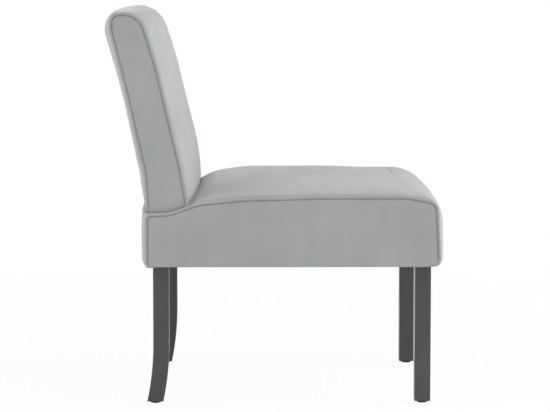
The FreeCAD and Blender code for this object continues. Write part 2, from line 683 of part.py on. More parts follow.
def with_screw_holes(battens):
    """The front corner blocks' screws go up into these battens."""
    for name, side in SIDES.items():
        for (x, y), batten in zip(screw_spots(side), ("seat_batten_" + name, "seat_batten_front")):
            battens[batten] = battens[batten].cut(screw(x, y, PLAY / 4))
    return battens


def chair():
    parts = {}
    parts.update(seat_boards())
    parts.update(with_screw_holes(seat_battens()))
    for name, side in SIDES.items():
        parts["corner_block_" + name] = corner_block(side)
    parts.update(seat_webbing())
    parts.update(seat_soft_parts())
    parts.update(seat_covers())
    parts.update(back_frame())
    parts.update(back_soft_parts())
    parts.update(back_covers())
    parts.update(welts())
    parts.update(legs_and_glides())
    parts.update(fasteners())
    return parts


if __name__ == "__main__":
    os.makedirs("parts", exist_ok=True)
    whole = FreeCAD.BoundBox()
    for node, shape in chair().items():
        whole.add(shape.BoundBox)
        shape.exportStep(f"parts/{node}.step")
        print(node, len(shape.Solids), round(shape.Volume / 1000, 1), "cm3", shape.isValid())
    print("overall", [round(v, 2) for v in (whole.XMin, whole.XMax, whole.YMin, whole.YMax,
                                            whole.ZMin, whole.ZMax)])
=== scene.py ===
# %% [markdown]
# # A slipper chair in light grey velvet
#
# A slipper chair is a low chair with no arms. This one is a foam seat on a plywood box, with a
# separate padded backrest that stands on a shelf at the rear of the seat. Both are covered in
# short-pile velvet, with a welt (a cord wrapped in the same velvet) sewn round each side panel.
# The wood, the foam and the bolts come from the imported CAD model, which stays fixed. This lesson
# makes what the eye meets: the velvet, the welts, the cloth underneath, and every finish.

import json
import math

import bmesh
import bpy
import numpy as np
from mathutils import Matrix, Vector


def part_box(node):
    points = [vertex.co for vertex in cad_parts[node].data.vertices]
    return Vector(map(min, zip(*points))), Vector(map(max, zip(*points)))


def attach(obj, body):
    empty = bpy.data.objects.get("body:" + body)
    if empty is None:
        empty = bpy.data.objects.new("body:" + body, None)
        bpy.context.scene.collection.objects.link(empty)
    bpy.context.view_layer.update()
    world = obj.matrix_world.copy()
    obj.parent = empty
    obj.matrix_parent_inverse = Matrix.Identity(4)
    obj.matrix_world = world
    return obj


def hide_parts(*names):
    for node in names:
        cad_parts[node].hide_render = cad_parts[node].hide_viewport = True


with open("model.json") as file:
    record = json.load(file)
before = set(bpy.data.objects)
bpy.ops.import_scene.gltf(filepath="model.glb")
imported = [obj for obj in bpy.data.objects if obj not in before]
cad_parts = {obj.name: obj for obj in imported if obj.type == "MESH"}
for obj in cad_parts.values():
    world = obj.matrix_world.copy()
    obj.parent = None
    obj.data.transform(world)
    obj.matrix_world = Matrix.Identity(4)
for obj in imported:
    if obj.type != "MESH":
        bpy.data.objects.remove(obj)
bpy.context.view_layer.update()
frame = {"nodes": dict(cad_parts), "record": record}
MM = 0.001

# %% [markdown]
# ## The camera
#
# The picture is taken from the sitter's right, a little above the seat and nearly square to the
# side. The far legs look a tenth smaller than the near ones, so the camera stands about nine seat
# widths away with a long lens. It is aimed a little down, with no lens shift, so that it can be
# walked round the chair for the other views.

# %% Set up the camera
PICTURE_WIDE = 550            # pixels
CAMERA_AT = Vector((-4.697, 0.0435, 0.8274))
LENS_PIXELS = 2295.4          # focal length, in the picture's pixels
TURN = math.radians(0.536)    # towards the front of the chair
DOWN = math.radians(5.627)

camera_data = bpy.data.cameras.new("side_camera")
camera_data.sensor_width = 36.0
camera_data.lens = LENS_PIXELS / PICTURE_WIDE * camera_data.sensor_width
camera = bpy.data.objects.new("side_camera", camera_data)
bpy.context.scene.collection.objects.link(camera)
camera.location = CAMERA_AT
aim = Vector((math.cos(TURN) * math.cos(DOWN), -math.sin(TURN) * math.cos(DOWN), -math.sin(DOWN)))
camera.rotation_euler = aim.to_track_quat("-Z", "Y").to_euler()
bpy.context.scene.camera = camera
print("lens", round(camera_data.lens, 1), "mm")

# %% [markdown]
# ## Surfaces on a grid
#
# Every new piece is a grid of points: one parameter runs along it, the other across. Blender takes
# such a grid in one go: the points as one long array, and the quads as four indices each. A
# second array can ride along as an attribute. The velvet uses one for painted shade, which is 1 in
# a stitched seam and beside the backrest's recess, and falls to 0 away from them.

# %% A helper that turns a grid into a piece
def grid_faces(rows, columns, closed_rows=False, closed_columns=False):
    """Quad (i, j) joins points (i, j), (i, j+1), (i+1, j+1) and (i+1, j); a closed side wraps round."""
    i = np.arange(rows if closed_rows else rows - 1)
    j = np.arange(columns if closed_columns else columns - 1)
    i, j = np.meshgrid(i, j, indexing="ij")
    below, beside = (i + 1) % rows, (j + 1) % columns
    corners = [i * columns + j, i * columns + beside, below * columns + beside, below * columns + j]
    return np.stack(corners, -1).reshape(-1, 4)


def closed_up(mesh):
    """Points of one place become one point, and the faces are turned to agree with each other."""
    shape = bmesh.new()
    shape.from_mesh(mesh)
    bmesh.ops.remove_doubles(shape, verts=shape.verts, dist=1e-6)
    bmesh.ops.recalc_face_normals(shape, faces=shape.faces)
    shape.to_mesh(mesh)
    shape.free()


def make_piece(name, points, faces, painted_shade=None, uv=None):
    """A mesh from an array of points and one of quads, smooth shaded, riding on the chair's one body."""
    mesh = bpy.data.meshes.new(name)
    mesh.vertices.add(len(points))
    mesh.vertices.foreach_set("co", np.ascontiguousarray(points, np.float32).ravel())
    mesh.loops.add(faces.size)
    mesh.loops.foreach_set("vertex_index", faces.astype(np.int32).ravel())
    mesh.polygons.add(len(faces))
    mesh.polygons.foreach_set("loop_start", np.arange(0, faces.size, faces.shape[1], dtype=np.int32))
    mesh.update(calc_edges=True)
    mesh.polygons.foreach_set("use_smooth", np.ones(len(faces), bool))
    if painted_shade is not None:
        marks = mesh.attributes.new("painted_shade", "FLOAT", "POINT")
        marks.data.foreach_set("value", painted_shade.astype(np.float32).ravel())
    if uv is not None:
        layer = mesh.uv_layers.new(name="cloth")
        layer.data.foreach_set("uv", uv.reshape(-1, 2)[faces.ravel()].astype(np.float32).ravel())
    mesh.validate()
    closed_up(mesh)
    piece = bpy.data.objects.new(name, mesh)
    bpy.context.scene.collection.objects.link(piece)
    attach(piece, "root")
    print(name, len(points), "points", len(faces), "faces")
    return piece


def normals_of(points):
    """At each grid point, the unit cross product of the directions along its row and its column."""
    along = np.gradient(points, axis=0)
    across = np.gradient(points, axis=1)
    normal = np.cross(across, along)
    return normal / np.maximum(np.linalg.norm(normal, axis=-1, keepdims=True), 1e-12)


# %% [markdown]
# ## Outlines
#
# The side of the seat and the side of the backrest are drawn as straight runs joined by arcs, as
# an upholsterer's pattern is. A corner is a distance back, a height and a radius. Between the two
# side panels the cover swells: each corner moves out by its own amount, most at the middle of the
# width, which is what gives the seat its crown and its soft front roll.

# %% The two patterns, in millimetres
SEAT_PATTERN = np.array([
    (250.0, 274.6, 3.5), (249.3, 370.0, 5.0), (205.0, 371.5, 70.0), (150.0, 391.5, 70.0),
    (60.0, 400.2, 400.0), (-90.0, 404.2, 800.0), (-256.0, 404.2, 90.0), (-311.0, 394.0, 18.0),
    (-316.5, 274.6, 8.0)]) * MM
SEAT_SWELL = np.array([
    (15, 0, 0), (15, 8, 4), (0, 3, 0), (-27, 36.5, 8), (0, 37, 0), (0, 33.5, 0), (20, 29, 40),
    (-19.5, 39, 73), (-16, 0, 0)]) * MM
BACK_PATTERN = np.array([
    (247.3, 380.5, 3.0), (252.0, 452.0, 250.0), (288.9, 618.0, 600.0), (317.0, 730.0, 60.0),
    (318.0, 757.0, 14.0), (266.5, 763.0, 40.0), (235.0, 664.0, 600.0), (186.0, 455.0, 500.0),
    (175.5, 388.0, 4.0), (203.0, 380.5, 40.0)]) * MM
BACK_SWELL = np.array([
    (8.5, 0, 4), (17.5, -1, 0), (16.3, -3.4, 0), (18.5, -9.5, 0), (21, 5, 21.5), (-24.7, 14.5, 13),
    (-27.3, 8, 0), (-30.6, 5.8, 0), (-18, 0, 0), (0, 0, 0)]) * MM
SEAT_SIDE = 265.0 * MM        # middle of the chair to the seat's side panel
BACK_SIDE = 255.0 * MM
WELT_RADIUS = 3.75 * MM       # room the pattern leaves for the welt
CORD_RADIUS = 3.1 * MM        # the welt itself, pulled tight


def moved_out(pattern, distance):
    """Each corner slides along the bisector of its two sides until both have moved out by the distance."""
    place = pattern[:, :2]
    ahead = np.roll(place, -1, 0) - place
    ahead = ahead / np.linalg.norm(ahead, axis=1, keepdims=True)
    back = np.roll(ahead, 1, 0)
    out_back = np.stack([back[:, 1], -back[:, 0]], 1)
    out_ahead = np.stack([ahead[:, 1], -ahead[:, 0]], 1)
    reach = distance / (1 + (out_back * out_ahead).sum(1))
    turn = back[:, 0] * ahead[:, 1] - back[:, 1] * ahead[:, 0]
    radius = np.maximum(pattern[:, 2] + distance * np.sign(turn), 0.8 * MM)
    return np.column_stack([place + (out_back + out_ahead) * reach[:, None], radius])


def unit(vectors):
    return vectors / np.linalg.norm(vectors, axis=-1, keepdims=True)


def rounded(places, radii, spacing):
    """Runs and tangent arcs through rows of corners: on an arc the point swings by equal angles about
    the centre, which lies on the corner's bisector at radius / sin(half the corner's angle)."""
    here = places[:, 1:-1]
    before, after = unit(places[:, :-2] - here), unit(places[:, 2:] - here)
    half = np.arccos(np.clip((before * after).sum(-1), -1, 1)) / 2
    reach = (radii / np.tan(half))[..., None]
    centre = here + unit(before + after) * (radii / np.sin(half))[..., None]
    start, end = here + before * reach, here + after * reach
    swing = np.pi - 2 * half
    runs, last = [places[:, :1]], places[:, 0]
    for k in range(here.shape[1]):
        length = np.linalg.norm(start[0, k] - last[0])
        steps = np.linspace(0, 1, max(2, round(length / spacing)) + 1)[1:, None]
        runs.append(last[:, None] + (start[:, k] - last)[:, None] * steps)
        share = np.linspace(0, 1, max(6, round(radii[0, k] * swing[0, k] / (0.7 * spacing))) + 1)[1:]
        turn = swing[:, k, None]
        a, b = (start[:, k] - centre[:, k])[:, None], (end[:, k] - centre[:, k])[:, None]
        mix_a = (np.sin((1 - share) * turn) / np.sin(turn))[..., None]
        mix_b = (np.sin(share * turn) / np.sin(turn))[..., None]
        runs.append(centre[:, k, None] + a * mix_a + b * mix_b)
        last = end[:, k]
    steps = np.linspace(0, 1, max(2, round(np.linalg.norm(places[0, -1] - last[0]) / spacing)) + 1)[1:, None]
    runs.append(last[:, None] + (places[:, -1] - last)[:, None] * steps)
    return np.concatenate(runs, 1)


def lengths_along(path):
    """Distance walked along each row of points."""
    steps = np.linalg.norm(np.diff(path, axis=-2), axis=-1)
    return np.concatenate([np.zeros(steps.shape[:-1] + (1,)), np.cumsum(steps, -1)], -1)


print("seat pattern", len(SEAT_PATTERN), "corners; backrest pattern", len(BACK_PATTERN), "corners")

# %% [markdown]
# ## Smooth irregularity
#
# Foam and hand-pulled velvet are never quite even. A few sine waves of unlike lengths and
# directions, added up with fixed phases, give a soft uneven field that is the same each time the
# script runs. Its size in millimetres says how far the surface strays.

# %% A field of soft unevenness
def uneven(points, wave_length, seed):
    """Sum of nine sines along scattered directions, divided by 5: mostly between -1 and 1, with wave lengths
    within a third of the given one."""
    chance = np.random.default_rng(seed)
    directions = unit(chance.normal(size=(9, 3)))
    waves = 2 * np.pi / (wave_length * chance.uniform(0.67, 1.33, 9))
    phases = chance.uniform(0, 2 * np.pi, 9)
    return np.sin((points @ directions.T) * waves + phases).sum(-1) / 5


def smooth_step(low, high, x):
    """0 below low, 1 above high, and 3s^2 - 2s^3 between them."""
    s = np.clip((x - low) / (high - low), 0, 1)
    return s * s * (3 - 2 * s)


def across_positions(half, seam_step=1.5 * MM, even_step=5.5 * MM):
    """Places across the width: twelve steps from each seam, each 1.13 times the last, and even ones in the
    middle."""
    near = half - np.cumsum(seam_step * 1.13 ** np.arange(12))
    middle = np.linspace(0, near[-1], max(2, round(near[-1] / even_step)))
    side = np.unique(np.concatenate([middle, near, [half]]))
    return np.concatenate([-side[:0:-1], side])


print("unevenness at one spot", round(float(uneven(np.zeros((1, 3)), 0.1, 3)[0]), 3))

# %% [markdown]
# ## The long covers
#
# One strip of velvet runs over the rear, the top and the front, sewn to the welts at its two
# edges. Foam pushes it up at once behind the seam and then carries it in a slow crown, so the share
# of the full swell is (1 - |t|^2.6)^0.7 across the width: steep at the seam and nearly flat in the
# middle. Small puckers stand along the stitching, where the cloth is drawn in.

# %% The strip between two welts
SEAM_DIP = 2.6 * MM           # how deep the stitching draws the cloth
SEAM_REACH = 3.2 * MM         # and how far from it
PUCKER = 0.18 * MM
PUCKER_LENGTH = 17 * MM
PUCKER_REACH = 9 * MM         # half width of the puckered band, which is centred 6 mm from the seam
SEWN_CORNERS = 9              # rear bottom, over the top, to front bottom
SEAM_SHADE = 4.5 * MM         # how far the shade of the seam reaches over the cloth
SEAT_LIP = 20 * MM            # cover turned in under the seat
CLOTH_STEP = 4 * MM           # grid step along the outline


def swell_share(t):
    """(1 - |t|^2.6)^0.7, where t is -1 at one seam, 0 in the middle and 1 at the other."""
    return np.maximum(1 - np.abs(t) ** 2.6, 0) ** 0.7


def strip(pattern, swell, half, lip, spacing):
    """Rows across the width, columns along the outline, which is the pattern plus the row's share of its
    swell. The cloth turns in underneath by the lip, or, where that is 0, closes on itself."""
    x = across_positions(half)
    share = swell_share(x / half)
    corners = moved_out(pattern, WELT_RADIUS)
    places = corners[None, :, :2] + share[:, None, None] * swell[None, :, :2]
    radii = (corners[None, :, 2] + share[:, None] * swell[None, :, 2])[:, :SEWN_CORNERS]
    if lip > 0:
        ends = corners[[0, -1], :2] + np.array([[-lip, 0], [lip, 0]])
        ends = np.repeat(ends[None], len(x), 0)
        places = np.concatenate([ends[:, :1], places, ends[:, 1:]], 1)
    else:
        places = np.concatenate([places[:, -1:], places], 1)
    path = rounded(places, radii, spacing)
    points = np.empty(path.shape[:2] + (3,))
    points[..., 0] = x[:, None]
    points[..., 1:] = path
    return points


def drawn_in(points, half, seed):
    """Moves each point along its normal: down in the seam, in small waves beside it, unevenly elsewhere."""
    inward = half - np.abs(points[..., 0])
    along = lengths_along(points)
    dip = -SEAM_DIP * np.exp(-(inward / SEAM_REACH) ** 2)
    wave = np.sin(2 * np.pi * along / PUCKER_LENGTH + 2.5 * uneven(points, 90 * MM, seed))
    pucker = PUCKER * wave * np.exp(-((inward - 6 * MM) / PUCKER_REACH) ** 2)
    soft = (0.25 + 0.55 * uneven(points, 170 * MM, seed + 1)) * MM * smooth_step(0, 60 * MM, inward)
    return points + normals_of(points) * (dip + pucker + soft)[..., None]


def painted_seam_shade(points, half):
    """exp(-(distance to the seam / reach)^2), painted shade along the seam: 1 on the stitching, and about a
    third at the reach.
    """
    return np.exp(-((half - np.abs(points[..., 0])) / SEAM_SHADE) ** 2)


def cloth_places(points):
    """Distances on the cloth, in metres: along the strip and across it."""
    return np.stack([lengths_along(points), points[..., 0]], -1)


EDGE_IN = 1.6 * MM            # from the panel's plane to the strip's edge, which lies inside the welt
SEAT_HALF = SEAT_SIDE - EDGE_IN
BACK_HALF = BACK_SIDE - EDGE_IN
seat_strip = strip(SEAT_PATTERN, SEAT_SWELL, SEAT_HALF, SEAT_LIP, CLOTH_STEP)
back_strip = strip(BACK_PATTERN, BACK_SWELL, BACK_HALF, 0, CLOTH_STEP)
print("seat strip", seat_strip.shape[:2], "backrest strip", back_strip.shape[:2])

# %% [markdown]
# ## Letting the cloth settle
#
# A cover is cut a touch larger than the foam, sewn at its edges and pushed out from inside. A
# cloth simulation on a trial copy shows where the spare cloth goes: into soft puckers that run
# away from the stitching. The foam holds the broad shape, so only the fine part of each point's
# move is kept, and it is capped.

# %% Cloth on a trial copy
SPARE = 0.004                 # how much longer the cloth is than the foam it covers
FINE = 9                      # half width, in grid steps, of the average that counts as broad shape
PUCKER_OUT = 0.9 * MM         # most that a point may end up further from the foam
PUCKER_IN = 0.25 * MM         # and nearer to it
SMALLER = 0.8 * MM            # the trial starts this much inside the strip
FRAMES = 20


def averaged(values, reach):
    """Mean over 2 * reach + 1 neighbours along each axis in turn, from running sums."""
    for axis in (0, 1):
        padding = [(0, 0), (0, 0)]
        padding[axis] = (reach + 1, reach)
        total = np.cumsum(np.pad(values, padding, mode="edge"), axis)
        wide = 2 * reach + 1
        values = (total.take(range(wide, total.shape[axis]), axis)
                  - total.take(range(total.shape[axis] - wide), axis)) / wide
    return values


def settled(points, held):
    """Each point moves along its normal by the fine part of its move in the simulation, which is eased
    into its limit by limit * tanh(move / limit). Held points stay where they are."""
    out = normals_of(points)
    start = points - out * (SMALLER * ~held)[..., None]
    mesh = bpy.data.meshes.new("trial")
    mesh.from_pydata(start.reshape(-1, 3).tolist(), [], grid_faces(*held.shape).tolist())
    trial = bpy.data.objects.new("trial", mesh)
    bpy.context.scene.collection.objects.link(trial)
    trial.vertex_groups.new(name="held").add(np.flatnonzero(held).tolist(), 1.0, "REPLACE")
    cloth = trial.modifiers.new("cloth", "CLOTH")
    cloth.collision_settings.use_collision = False
    cloth.settings.quality = 3
    cloth.settings.vertex_group_mass = "held"
    cloth.settings.bending_stiffness = 0.5
    cloth.settings.use_pressure = True
    cloth.settings.uniform_pressure_force = 4.0
    cloth.settings.shrink_min = -SPARE
    cloth.settings.effector_weights.gravity = 0.0
    for frame_number in range(1, FRAMES + 1):
        bpy.context.scene.frame_set(frame_number)
    blown = trial.evaluated_get(bpy.context.evaluated_depsgraph_get()).to_mesh()
    places = np.empty(points.size, np.float32)
    blown.vertices.foreach_get("co", places)
    bpy.data.objects.remove(trial)
    bpy.data.meshes.remove(mesh)
    bpy.context.scene.frame_set(1)
    move = ((places.reshape(points.shape) - points) * out).sum(-1)
    fine = averaged(move - averaged(move, FINE), 1)
    limit = np.where(fine > 0, PUCKER_OUT, PUCKER_IN)
    fine = limit * np.tanh(fine / limit) * ~held
    print("cloth moved from", round(float(fine.min()) / MM, 2), "to", round(float(fine.max()) / MM, 2), "mm")
    return points + out * fine[..., None]


SEAT_HEM, BACK_HEM = 285 * MM, 385 * MM         # below these heights the cloth is held fast
BACKREST_MIDDLE, BACKREST_REACH = 206 * MM, 56 * MM     # where the backrest presses on the seat
sewn = np.abs(seat_strip[..., 0]) > SEAT_HALF - 1 * MM
pressed = (np.abs(seat_strip[..., 1] - BACKREST_MIDDLE) < BACKREST_REACH) & (seat_strip[..., 2] > 350 * MM)
seat_settled = settled(seat_strip, sewn | pressed | (seat_strip[..., 2] < SEAT_HEM))
sewn = np.abs(back_strip[..., 0]) > BACK_HALF - 1 * MM
back_settled = settled(back_strip, sewn | (back_strip[..., 2] < BACK_HEM))
print("both strips settled")

# %% [markdown]
# The seat's cover cannot pass through the backrest, which stands in it. The grid is cut where it
# meets the backrest's front and rear faces or, near the sides, where it reaches the shelf's height.
# From there the cloth rolls over the edge of the foam, runs down beside the backrest and goes along
# the shelf below it.

# %% The recess under the backrest
SHELF = 375.9 * MM
ROLL = 1.2 * MM               # radius of the cloth's turn down into the recess
CLEAR = 0.1 * MM              # cloth to backrest, down in the recess
REAR_COLUMNS, FRONT_COLUMNS = 46, 150
CROWDING = 1.15               # power that packs the front part's columns closer beside the recess


def backrest_face(x, z, order):
    """Distance back of the backrest's face at a height: straight lines between the swelled corners, taken
    in the given order."""
    share = swell_share(np.clip(x / BACK_HALF, -1, 1))
    corners, rise = moved_out(BACK_PATTERN, WELT_RADIUS)[order, :2], BACK_SWELL[order, :2]
    face = corners[0, 0] + share * rise[0, 0]
    for low, high, low_rise, high_rise in zip(corners, corners[1:], rise, rise[1:]):
        low_y, low_z = low[0] + share * low_rise[0], low[1] + share * low_rise[1]
        high_y, high_z = high[0] + share * high_rise[0], high[1] + share * high_rise[1]
        t = np.clip((z - low_z) / (high_z - low_z), 0, 1)
        face = np.where(z > low_z, low_y + t * (high_y - low_y), face)
    return face


def crossing(value):
    """For each row, the fractional column at which its value first rises above zero."""
    column = np.maximum((value > 0).argmax(1), 1)[:, None]
    before, after = (np.take_along_axis(value, column + k, 1) for k in (-1, 0))
    return column - 1 + before / (before - after)


def at_columns(points, column):
    """The points at fractional columns, each row with its own."""
    low = np.clip(column.astype(int), 0, points.shape[1] - 2)
    near, far = (np.take_along_axis(points, (low + k)[..., None], 1) for k in (0, 1))
    return near + (far - near) * (column - low)[..., None]


def with_recess(points):
    """Rear part, roll, shelf, roll and front part, joined along the rows. Also each point's nearness to the
    recess, exp(-(distance / reach)^2), which is painted shade, and the row of points where the front part
    begins."""
    x, y, z = np.moveaxis(points, -1, 0)
    margin = ROLL + CLEAR
    rear = crossing(np.minimum(backrest_face(x, z, [0, 1, 2]) + margin - y, z - SHELF))
    last = points.shape[1] - 1
    front = last - crossing(np.minimum(y - backrest_face(x, z, [8, 7, 6]) + margin, z - SHELF)[:, ::-1])
    steps = np.linspace(0, 1, REAR_COLUMNS)[None]
    rear_part = at_columns(points, rear * steps)
    steps = np.linspace(0, 1, FRONT_COLUMNS)[None] ** CROWDING
    front_part = at_columns(points, front + (last - front) * steps)
    turn = np.linspace(0, np.pi / 2, 5)[1:]
    deep = np.linspace(0, 1, 5)[1:]

    def down(edge, ahead):
        """The roll and the drop from a row's edge point, towards the recess."""
        roll_y = edge[..., 1] + ahead * ROLL * np.sin(turn)
        roll_z = edge[..., 2] - ROLL * (1 - np.cos(turn))
        drop_z = roll_z[:, -1:] + (SHELF - roll_z[:, -1:]) * deep
        run_y = np.concatenate([roll_y, np.repeat(roll_y[:, -1:], len(deep), 1)], 1)
        run_z = np.maximum(np.concatenate([roll_z, drop_z], 1), SHELF)
        return np.stack([np.repeat(edge[..., 0], run_y.shape[1], 1), run_y, run_z], -1)

    into = down(rear_part[:, -1:], -1)
    out = down(front_part[:, :1], 1)[:, ::-1]
    along_shelf = np.linspace(0, 1, 12)[1:-1, None]
    shelf = into[:, -1:] + (out[:, :1] - into[:, -1:]) * along_shelf
    walked_rear, walked_front = lengths_along(rear_part), lengths_along(front_part)
    # Nearness to the recess is painted shade: the cloth is darkened in the crease where the backrest stands
    # in the seat.
    near = [np.exp(-((walked_rear[:, -1:] - walked_rear) / (4 * MM)) ** 2),
            np.ones((len(points), into.shape[1] + shelf.shape[1] + out.shape[1])),
            np.exp(-(walked_front / (9 * MM)) ** 2)]
    joined = np.concatenate([rear_part, into, shelf, out, front_part], 1)
    return joined, np.concatenate(near, 1), front_part[:, 0]


seat_points, seat_recess_shade, meeting = with_recess(drawn_in(seat_settled, SEAT_HALF, 11))
back_points = drawn_in(back_settled, BACK_HALF, 23)
# Painted shade on the backrest's cover just above the seat, where the two meet.
above = back_points[..., 2] - np.interp(back_points[..., 0], meeting[:, 0], meeting[:, 2])
back_recess_shade = np.exp(-(np.maximum(above, 0) / (9 * MM)) ** 2)
print("seat crown at", round(float(seat_points[..., 2].max()) / MM, 1), "mm")
print("backrest top at", round(float(back_points[..., 2].max()) / MM, 1), "mm")

# %% Make both covers
def make_cover(name, cad_node, points, half, near):
    # The painted shade of the seams and of the recess rides on the cover as an attribute.
    piece = make_piece(name, points.reshape(-1, 3), grid_faces(*points.shape[:2]),
                       np.maximum(painted_seam_shade(points, half), near), cloth_places(points))
    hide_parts(cad_node)
    return piece


seat_cover = make_cover("seat_cover", "seat_cover_top", seat_points, SEAT_HALF, seat_recess_shade)
back_cover = make_cover("back_cover", "back_cover_front", back_points, BACK_HALF, back_recess_shade)

# %% [markdown]
# ## The side panels
#
# A side panel is a flat piece of velvet over thin wadding. Its grid runs round the seam and inwards
# to a line in its middle, called its spine here. It is drawn down into the seam at its edge and
# stands about two millimetres proud inside, so light rolls over its border. Along its lower edge
# the seat's panel isn't sewn: it is folded in under the box.

# %% Side panels
PANEL_FOOT = 271.0 * MM
SEAM_ALLOWANCE = 3.2 * MM
FOLD = 9 * MM                 # how far the seat's panel turns in under the box
SEWN_EDGE, SEWN_RISE, SEWN_REACH = -0.3 * MM, 2.2 * MM, 1.6 * MM
FOLDED_EDGE, FOLDED_RISE, FOLDED_REACH = -0.7 * MM, 2.6 * MM, 1.0 * MM


def side_panel(pattern, side_x, sign, spine, seed):
    """Ring r of the grid is (1 - r) times the seam outline plus r times its place on the spine. Its height
    is edge + rise * (1 - exp(-depth / reach)), and outside the seam one ring turns in as the seam allowance
    or fold."""
    middle = (pattern[-1:, :2] + pattern[:1, :2]) / 2
    places = np.concatenate([middle, pattern[:, :2], middle])[None]
    outline = rounded(places, pattern[None, :, 2], 3.5 * MM)[0][:-1]
    start, end = np.array(spine)
    t = np.clip(((outline - start) @ (end - start)) / ((end - start) @ (end - start)), 0, 1)
    inner = start + t[:, None] * (end - start)
    reach_in = np.linalg.norm(outline - inner, axis=1)[None]
    near = np.array([0, 0.8, 1.8, 3, 4.5, 6.5, 9, 12.5, 17])[:, None] * MM
    depth = np.concatenate([np.minimum(near, 0.5 * reach_in), reach_in * np.linspace(0.55, 1, 12)[:, None]])
    share = (depth / reach_in)[..., None]
    flat = outline[None] * (1 - share) + inner[None] * share
    folded = 1 - smooth_step(PANEL_FOOT + 0.5 * MM, PANEL_FOOT + 4 * MM, outline[:, 1])[None]
    sewn_rise = SEWN_RISE * (1 - np.exp(-depth / SEWN_REACH)) + SEWN_EDGE
    folded_rise = FOLDED_RISE * (1 - np.exp(-depth / FOLDED_REACH)) + FOLDED_EDGE
    rise = sewn_rise + (folded_rise - sewn_rise) * folded
    points = np.concatenate([rise[..., None], flat], -1)
    soft = 0.5 * MM * uneven(points * [0, 1, 1], 150 * MM, seed) * smooth_step(0, 30 * MM, depth)
    points[..., 0] = sign * (side_x + rise + soft)
    hem = points[:1].copy()
    hem[..., 0] = sign * (side_x - SEAM_ALLOWANCE - (FOLD - SEAM_ALLOWANCE) * folded)
    # Painted shade along the sewn edge of the panel, none along the fold.
    painted_shade = 0.15 * np.exp(-(depth / (1.2 * MM)) ** 2) * (1 - folded)
    return np.concatenate([hem, points]), np.concatenate([painted_shade[:1], painted_shade])


def make_side_panel(name, cad_node, grid, sign):
    points, painted_shade = grid
    faces = grid_faces(*points.shape[:2], closed_columns=True)
    faces = faces if sign > 0 else faces[:, ::-1]
    piece = make_piece(name, points.reshape(-1, 3), faces, painted_shade, points[..., 1:])
    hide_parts(cad_node)
    return piece


FRONT_CORNER = 273.4 * MM     # the front bottom corner is cut off, beside the welt's turn
BACK_PANEL_FOOT = 374.5 * MM  # down beside the seat's welt
seat_panel_pattern = np.concatenate([SEAT_PATTERN, np.array([
    (-303.0 * MM, FRONT_CORNER, 3.0 * MM), (-297.0 * MM, PANEL_FOOT, 3.0 * MM)])])
seat_panel_pattern[0, 1], seat_panel_pattern[8, 1] = PANEL_FOOT, FRONT_CORNER
back_panel_pattern = BACK_PATTERN.copy()
back_panel_pattern[[0, 9], 1] = BACK_PANEL_FOOT
SEAT_SPINE = ((205 * MM, 322 * MM), (-262 * MM, 338 * MM))
BACK_SPINE = ((216 * MM, 412 * MM), (285 * MM, 722 * MM))
SIDES = {"left": 1, "right": -1}
side_panels = []
for n, (name, sign) in enumerate(SIDES.items()):
    seat_grid = side_panel(seat_panel_pattern, SEAT_SIDE, sign, SEAT_SPINE, 31 + n)
    back_grid = side_panel(back_panel_pattern, BACK_SIDE, sign, BACK_SPINE, 41 + n)
    side_panels.append(make_side_panel("seat_panel_" + name, "seat_cover_" + name, seat_grid, sign))
    side_panels.append(make_side_panel("back_panel_" + name, "back_cover_" + name, back_grid, sign))

# %% [markdown]
# ## The welts
#
# A welt is a cord in a folded strip of velvet, sewn between panel and cover. It is a circle carried
# along the seam. The strip is cut on the bias and pulled tight, so the tube's thickness wanders a
# little and fine slanting creases cross it. The seat's welts end under the box, where they dive
# inwards behind the fold of the panel. The backrest's end in the crack above the seat.

# %% Welts
SEAT_TAIL, SEAT_DIVE = 22 * MM, 8 * MM          # length of the turned-in end, and how far it goes inwards
BACK_TAIL, BACK_DIVE = 6 * MM, 3 * MM
DIVE_LENGTH = 8 * MM          # the last stretch, over which the end goes inwards
SUNK = 0.5 * MM               # the cord's middle lies this much inside the panel's plane


def welt_tube(pattern, side_x, sign, tail, dive, seed):
    """A circle of the cord's radius, swept along the outline one radius outside the seam. The radius goes to
    0 at both ends as a half ball does, so that they are closed."""
    corners = moved_out(pattern, CORD_RADIUS)[:SEWN_CORNERS]
    turned_in = np.array([tail, 0])
    places = np.concatenate([corners[:1, :2] - turned_in, corners[:, :2], corners[-1:, :2] + turned_in])[None]
    path = rounded(places, corners[None, :, 2], 2.4 * MM)[0]
    along = lengths_along(path)
    to_end = np.minimum(along, along[-1] - along)
    centre_x = side_x - SUNK - dive * (1 - smooth_step(0, DIVE_LENGTH, to_end))
    ahead = unit(np.gradient(path, axis=0))
    out = np.stack([ahead[:, 1], -ahead[:, 0]], 1)
    angle = np.linspace(0, 2 * np.pi, 24, endpoint=False)
    crease = 0.09 * MM * np.sin(2 * np.pi * along[:, None] / (6.5 * MM) + angle[None])
    place = np.column_stack([centre_x, path])
    radius = CORD_RADIUS + 0.12 * MM * uneven(place, 35 * MM, seed)[:, None] + crease
    radius = radius * np.sqrt(1 - (1 - np.clip(to_end / CORD_RADIUS, 0, 1)) ** 2)[:, None]
    points = np.empty((len(path), len(angle), 3))
    points[..., 0] = sign * (centre_x[:, None] + radius * np.sin(angle))
    points[..., 1:] = path[:, None] + (radius * np.cos(angle))[..., None] * out[:, None]
    # Painted shade on the cord: full on its side towards the cover and a quarter on its side towards the
    # panel, where the creases of the seam are in shade.
    shade_toward_cover = smooth_step(0.15 * np.pi, 0.35 * np.pi, -np.arctan2(np.sin(angle), np.cos(angle)))
    shade_toward_panel = smooth_step(0.72 * np.pi, 0.95 * np.pi, np.abs(np.arctan2(np.sin(angle), np.cos(angle))))
    painted_shade = np.maximum(shade_toward_cover, 0.25 * shade_toward_panel)[None] * np.ones((len(path), 1))
    uv = np.stack(np.broadcast_arrays(along[:, None], angle[None] * CORD_RADIUS), -1)
    return points, painted_shade, uv


